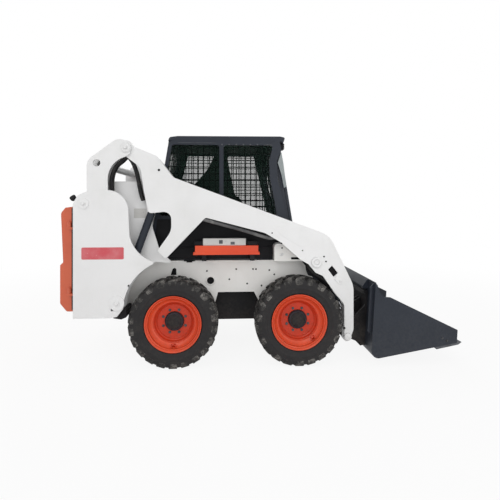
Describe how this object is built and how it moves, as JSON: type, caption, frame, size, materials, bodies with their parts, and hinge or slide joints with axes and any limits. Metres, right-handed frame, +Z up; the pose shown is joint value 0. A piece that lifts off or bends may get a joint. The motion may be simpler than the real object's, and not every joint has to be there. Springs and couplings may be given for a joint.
{
  "type": "skid steer loader",
  "caption": "Compact wheeled loader with radius lift arms, a tilting dirt bucket, a tilting caged cab with a front door, and a rear engine bay.",
  "frame": {"origin": "on the ground under the centre of the machine's bounding box, with the arms down and the bucket rolled back", "axes": "+X forward, +Y to the operator's left, +Z up"},
  "size_m": [3.409, 1.574, 1.986],
  "materials": {
    "white_paint": "gloss white enamel",
    "frame_paint": "warm grey-white enamel",
    "dark_paint": "very dark blue-grey enamel",
    "orange_paint": "red-orange enamel",
    "dull_orange": "weathered orange enamel",
    "black_steel": "black paint",
    "tyre_rubber": "worn black rubber",
    "chrome_rod": "hard chrome",
    "glass": "tinted safety glass",
    "lamp_lens": "clear lens",
    "red_lens": "red lens",
    "seat_vinyl": "black vinyl",
    "edge_steel": "worn bare steel",
    "bare_iron": "oily cast iron"
  },
  "bodies": {
    "chassis": {"main_frame": "frame_paint", "chassis_sides": "frame_paint", "arm_rests": "frame_paint", "drive_case": "black_steel", "axle_tubes": "black_steel", "upright_right": "white_paint", "upright_left": "white_paint", "upright_cross_tube": "white_paint", "engine_block": "bare_iron", "cooler": "black_steel", "tailgate_hinges": "black_steel", "foot_floor": "black_steel", "control_levers": "black_steel", "arm_support": "orange_paint"},
    "lift_arm": {"arm_right": "white_paint", "arm_left": "white_paint", "arm_cross_member": "white_paint"},
    "coupler": {"coupler_frame": "black_steel", "bucket": "dark_paint", "cutting_edge": "edge_steel"},
    "lift_barrels": {"lift_barrels": "dark_paint"},
    "lift_rods": {"lift_rods": "chrome_rod"},
    "tilt_barrels": {"tilt_barrels": "dark_paint"},
    "tilt_rods": {"tilt_rods": "chrome_rod"},
    "cab": {"cab_side_right": "dark_paint", "cab_side_left": "dark_paint", "side_screens": "black_steel", "cab_roof": "dark_paint", "cab_rear": "dark_paint", "cab_front": "dark_paint", "rear_glass": "glass", "seat": "seat_vinyl", "seat_pan": "black_steel", "seat_bar_mounts": "black_steel", "cab_lamps": "lamp_lens"},
    "cab_door": {"cab_door": "dark_paint", "door_glass": "glass"},
    "seat_bar": {"seat_bar": "black_steel"},
    "tailgate": {"tailgate": "dull_orange", "tail_lamps": "red_lens"},
    "rear_grille": {"rear_grille": "black_steel"},
    "wheel_rear_right": {"tyre_rear_right": "tyre_rubber", "rim_rear_right": "orange_paint", "hub_rear_right": "dark_paint"},
    "wheel_front_right": {"tyre_front_right": "tyre_rubber", "rim_front_right": "orange_paint", "hub_front_right": "dark_paint"},
    "wheel_rear_left": {"tyre_rear_left": "tyre_rubber", "rim_rear_left": "orange_paint", "hub_rear_left": "dark_paint"},
    "wheel_front_left": {"tyre_front_left": "tyre_rubber", "rim_front_left": "orange_paint", "hub_front_left": "dark_paint"}
  },
  "joints": [
    {"name": "lift_arm_pivot", "type": "hinge", "parent": "chassis", "child": "lift_arm", "pos_m": [-1.1255, 0, 1.843], "axis": [0, -1, 0], "range_deg": [0, 63.2]},
    {"name": "bucket_tilt", "type": "hinge", "parent": "lift_arm", "child": "coupler", "pos_m": [0.7405, 0, 0.24], "axis": [0, 1, 0], "range_deg": [-20, 100]},
    {"name": "lift_cylinder_swing", "type": "hinge", "parent": "chassis", "child": "lift_barrels", "pos_m": [-1.1945, 0, 0.562], "axis": [0, -1, 0], "range_deg": [-8, 8]},
    {"name": "lift_cylinder_stroke", "type": "slide", "parent": "lift_barrels", "child": "lift_rods", "axis": [0.3401, 0, 0.9404], "range_m": [0, 0.562]},
    {"name": "tilt_cylinder_swing", "type": "hinge", "parent": "lift_arm", "child": "tilt_barrels", "pos_m": [0.5425, 0, 0.838], "axis": [0, -1, 0], "range_deg": [-6, 6]},
    {"name": "tilt_cylinder_stroke", "type": "slide", "parent": "tilt_barrels", "child": "tilt_rods", "axis": [0.4748, 0, -0.8801], "range_m": [-0.05, 0.25]},
    {"name": "cab_tilt", "type": "hinge", "parent": "chassis", "child": "cab", "pos_m": [-0.9995, 0, 0.895], "axis": [0, -1, 0], "range_deg": [0, 30]},
    {"name": "door_hinge", "type": "hinge", "parent": "cab", "child": "cab_door", "pos_m": [0.33866, 0.45, 0.96404], "axis": [-0.1633, 0, 0.9866], "range_deg": [0, 95]},
    {"name": "seat_bar_pivot", "type": "hinge", "parent": "cab", "child": "seat_bar", "pos_m": [-0.3405, 0, 1.44], "axis": [0, -1, 0], "range_deg": [0, 75]},
    {"name": "tailgate_hinge", "type": "hinge", "parent": "chassis", "child": "tailgate", "pos_m": [-1.6215, -0.618, 0.9], "axis": [0, 0, 1], "range_deg": [0, 95]},
    {"name": "rear_grille_hinge", "type": "hinge", "parent": "chassis", "child": "rear_grille", "pos_m": [-1.2215, 0, 1.42], "axis": [0, -1, 0], "range_deg": [-45, 0]},
    {"name": "wheel_rear_right_spin", "type": "hinge", "parent": "chassis", "child": "wheel_rear_right", "pos_m": [-0.739, -0.628, 0.376], "axis": [0, 1, 0], "continuous": true},
    {"name": "wheel_front_right_spin", "type": "hinge", "parent": "chassis", "child": "wheel_front_right", "pos_m": [0.32, -0.628, 0.376], "axis": [0, 1, 0], "continuous": true},
    {"name": "wheel_rear_left_spin", "type": "hinge", "parent": "chassis", "child": "wheel_rear_left", "pos_m": [-0.739, 0.628, 0.376], "axis": [0, 1, 0], "continuous": true},
    {"name": "wheel_front_left_spin", "type": "hinge", "parent": "chassis", "child": "wheel_front_left", "pos_m": [0.32, 0.628, 0.376], "axis": [0, 1, 0], "continuous": true}
  ],
  "couplings": [
    {"joint": "lift_cylinder_swing", "follows": "lift_arm_pivot", "ratio": -0.094449},
    {"joint": "lift_cylinder_stroke", "follows": "lift_arm_pivot", "m_per_rad": 0.50111},
    {"joint": "tilt_cylinder_swing", "follows": "bucket_tilt", "ratio": -0.010373},
    {"joint": "tilt_cylinder_stroke", "follows": "bucket_tilt", "m_per_rad": 0.1406}
  ]
}
